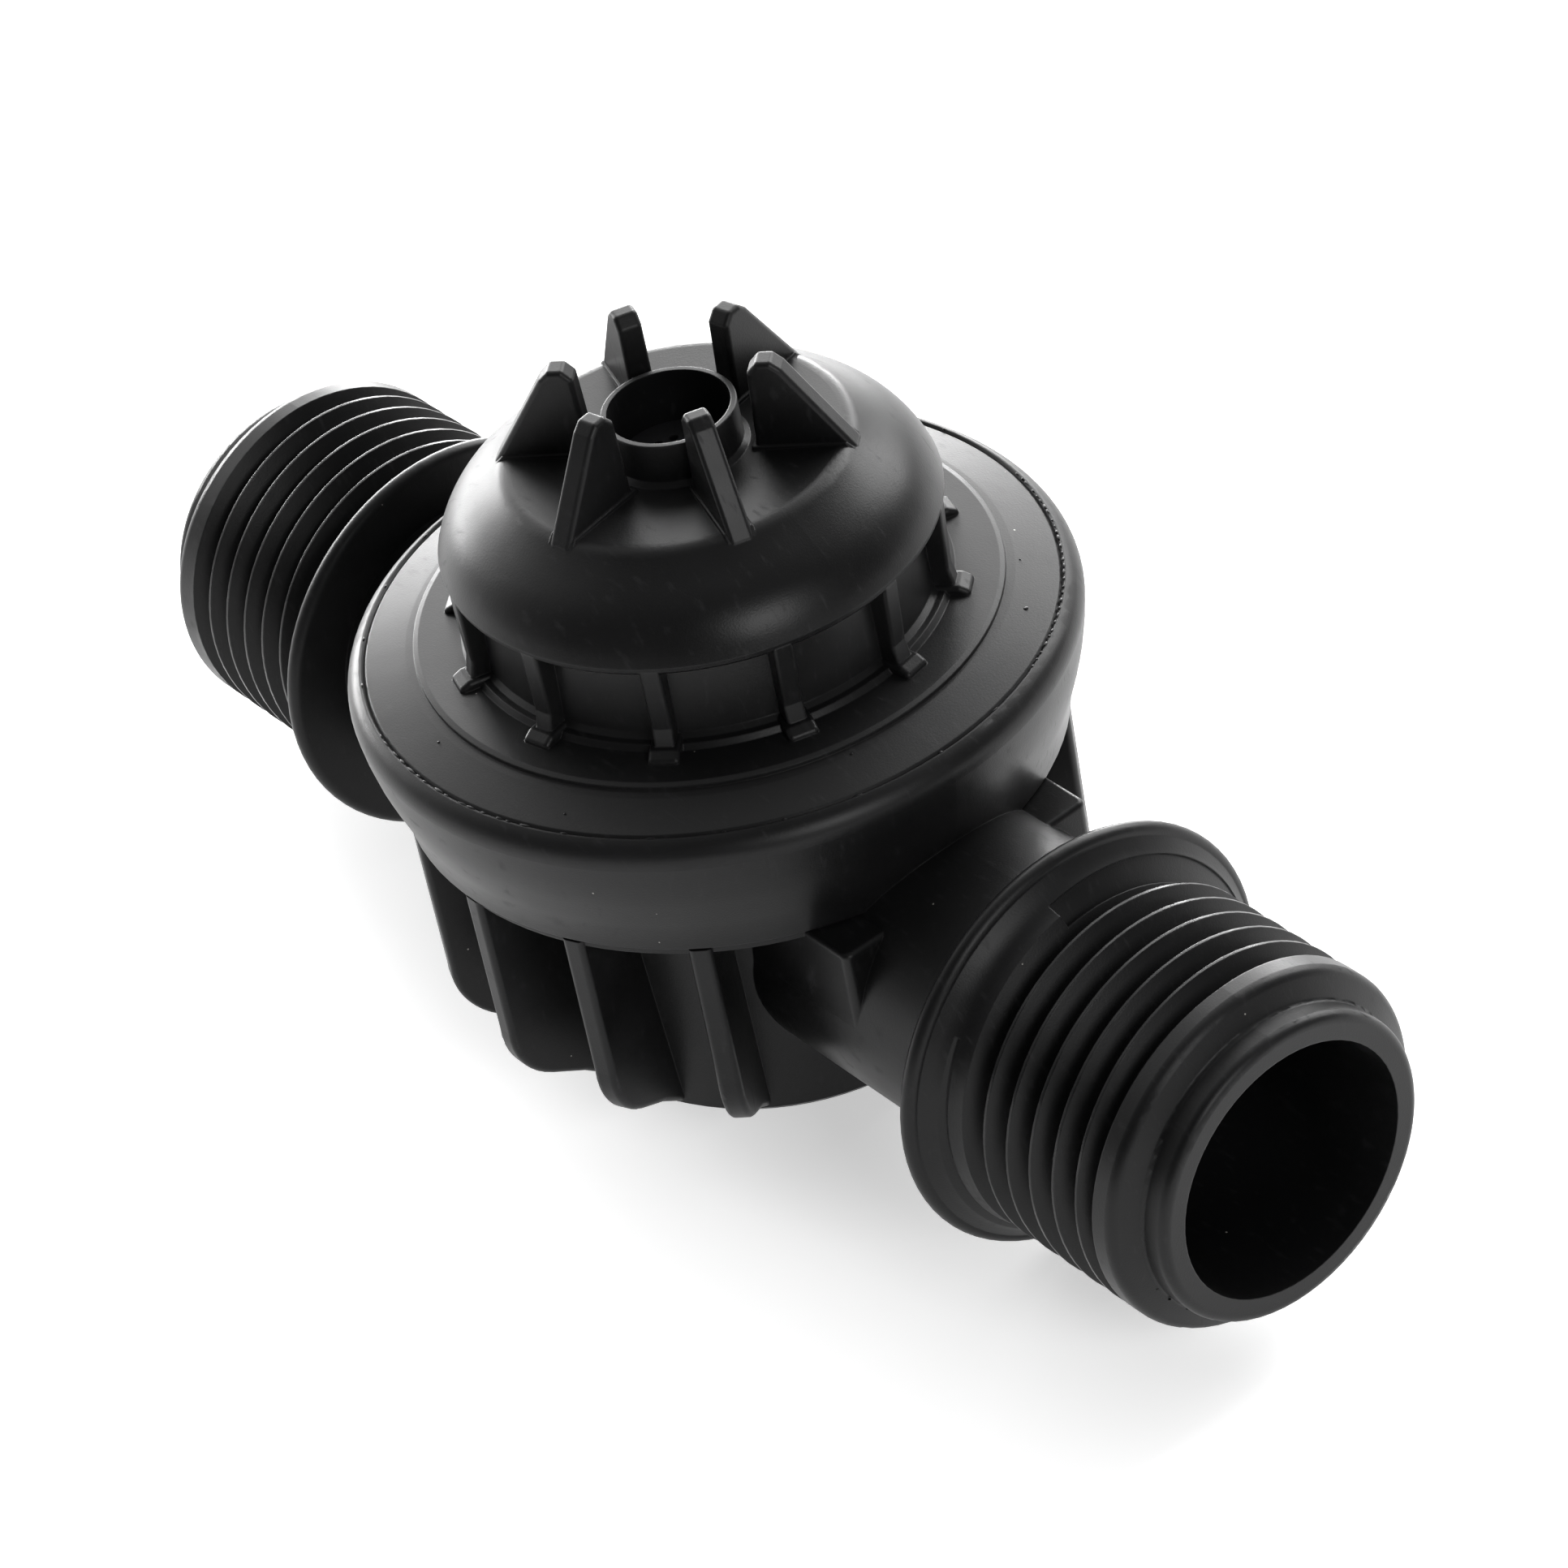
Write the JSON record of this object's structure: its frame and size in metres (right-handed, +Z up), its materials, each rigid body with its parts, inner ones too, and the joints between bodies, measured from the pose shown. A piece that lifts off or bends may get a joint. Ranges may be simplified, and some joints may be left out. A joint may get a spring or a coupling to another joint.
{
  "type": "inline pressure regulator",
  "caption": "Inline diaphragm pressure regulator with two male-threaded ports, a ribbed bowl and a finned spring bonnet.",
  "frame": {"origin": "centre of the bounding box's bottom: on the supporting surface, below the middle of the pipe", "axes": "+X along the pipe from inlet to outlet, +Z up along the bonnet and the stem, +Y to the side"},
  "size_m": [0.0892, 0.041, 0.0441],
  "materials": {
    "body_plastic": "satin black glass-filled polypropylene",
    "bonnet_plastic": "satin black glass-filled polypropylene",
    "inner_plastic": "natural acetal",
    "screen_plastic": "black moulded nylon",
    "diaphragm_rubber": "moulded EPDM",
    "seal_rubber": "moulded EPDM",
    "spring_steel": "drawn stainless spring wire",
    "stem_steel": "turned stainless steel"
  },
  "bodies": {
    "housing": {"body": "body_plastic", "bonnet": "bonnet_plastic", "vent_screen": "screen_plastic", "slip_ring": "inner_plastic", "diaphragm": "diaphragm_rubber", "main_spring": "spring_steel", "spring_seat": "inner_plastic", "seat_ring": "inner_plastic", "seat_o_ring": "seal_rubber", "stem_guide": "inner_plastic", "inlet_screen": "screen_plastic", "screen_ring": "screen_plastic"},
    "regulating_stem": {"stem": "stem_steel", "lower_diaphragm_plate": "inner_plastic", "spring_cup": "inner_plastic", "stem_washer": "stem_steel", "stem_nut": "stem_steel", "valve_disc": "seal_rubber", "disc_holder": "inner_plastic", "disc_clip": "spring_steel"}
  },
  "joints": [
    {"name": "regulating_slide", "type": "slide", "parent": "housing", "child": "regulating_stem", "axis": [0, 0, 1], "range_m": [0, 0.00215], "stiffness_N_per_m": 2800, "springref_m": -0.008, "deforming": ["main_spring", "diaphragm"]}
  ]
}
